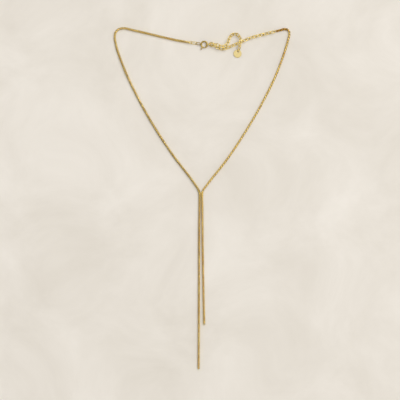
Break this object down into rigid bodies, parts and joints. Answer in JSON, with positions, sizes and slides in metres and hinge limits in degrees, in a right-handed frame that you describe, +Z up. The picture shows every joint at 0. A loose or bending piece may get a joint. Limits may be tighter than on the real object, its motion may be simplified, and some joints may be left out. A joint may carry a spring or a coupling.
{
  "type": "y necklace",
  "caption": "Fine gold Y necklace lying clasped: two box chains meet in a small ring and hang on as uneven drops; spring ring clasp, cable extender and a bare disc.",
  "frame": {"origin": "on the surface that the necklace lies on, under the middle of its outline", "axes": "+Z up from the surface, +Y from the ends of the drops to the clasp, +X towards the extender's side"},
  "size_m": [0.1413, 0.2734, 0.0051],
  "materials": {
    "chain_gold": "yellow gold plating on brass, rolled box links polished bright",
    "ring_gold": "pale gold plating on bent brass wire, polished",
    "link_gold": "pale gold plating on bent brass wire links, polished",
    "clasp_gold": "gold plating on drawn brass tube, polished",
    "disc_gold": "yellow gold plating on stamped brass sheet, tumbled bright"
  },
  "bodies": {
    "root": {"side_left": "chain_gold", "side_right": "chain_gold", "drop_long": "chain_gold", "drop_short": "chain_gold", "y_ring": "ring_gold", "end_ring_left": "ring_gold", "end_ring_right": "ring_gold", "jump_ring": "ring_gold", "clasp_body": "clasp_gold", "extender": "link_gold", "tag_ring": "ring_gold", "tag": "disc_gold"},
    "bolt": {"clasp_bolt": "clasp_gold"}
  },
  "joints": [
    {"name": "bolt_slide", "type": "hinge", "parent": "root", "child": "bolt", "pos_m": [0.002, 0.1231, 0.0013], "axis": [0, 0, 1], "range_deg": [-32, 0], "stiffness_Nm_per_rad": 0.002, "springref_deg": 20.05}
  ]
}
